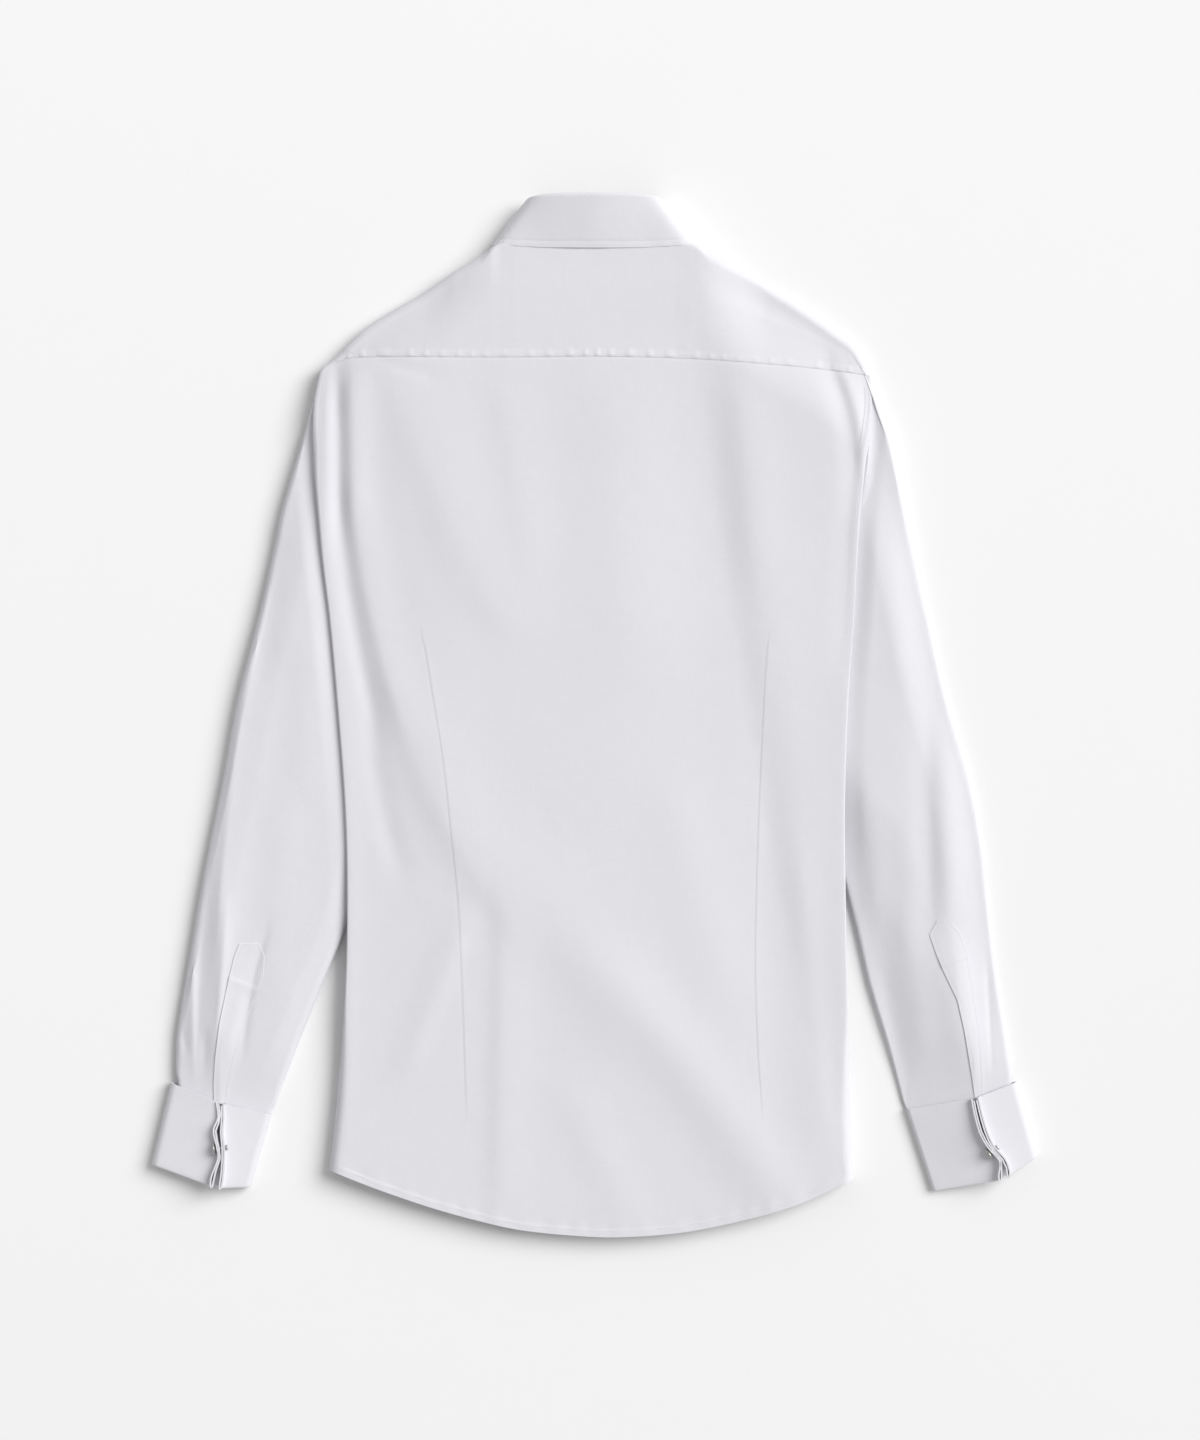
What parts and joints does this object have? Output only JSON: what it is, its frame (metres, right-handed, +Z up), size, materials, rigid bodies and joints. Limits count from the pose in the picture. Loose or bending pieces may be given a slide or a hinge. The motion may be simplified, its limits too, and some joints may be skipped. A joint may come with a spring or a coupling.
{
  "type": "long sleeve dress shirt",
  "caption": "Long sleeve dress shirt laid flat on its front: yoke, darted back, curved hem, turned-down collar, tower sleeve plackets and double cuffs with cufflinks.",
  "frame": {"origin": "on the surface the shirt lies on, under the middle of its outline seen from above", "axes": "+Y from the hem to the collar, +Z up out of the shirt's back, +X towards the wearer's right side"},
  "size_m": [0.6916, 0.8127, 0.028],
  "materials": {
    "poplin": "fine white cotton poplin with a soft matt sheen, lightly pressed",
    "fused_poplin": "the same white poplin fused to an interlining, smoother and stiffer, edge-stitched",
    "button": "pearly white, four holes, polished rim",
    "cufflink_metal": "plain domed face, satin grey metal"
  },
  "bodies": {
    "root": {"back": "poplin", "yoke": "poplin", "left_front": "poplin", "right_front": "poplin", "front_placket": "poplin", "sleeve_left": "poplin", "sleeve_placket_left": "fused_poplin", "sleeve_right": "poplin", "sleeve_placket_right": "fused_poplin", "cuff_left": "fused_poplin", "cufflink_left": "cufflink_metal", "cuff_right": "fused_poplin", "cufflink_right": "cufflink_metal", "collar_leaf": "fused_poplin", "collar_stand": "fused_poplin", "button_1": "button", "button_2": "button", "button_3": "button", "button_4": "button", "button_5": "button", "button_6": "button", "button_7": "button", "collar_button": "button"}
  },
  "joints": []
}
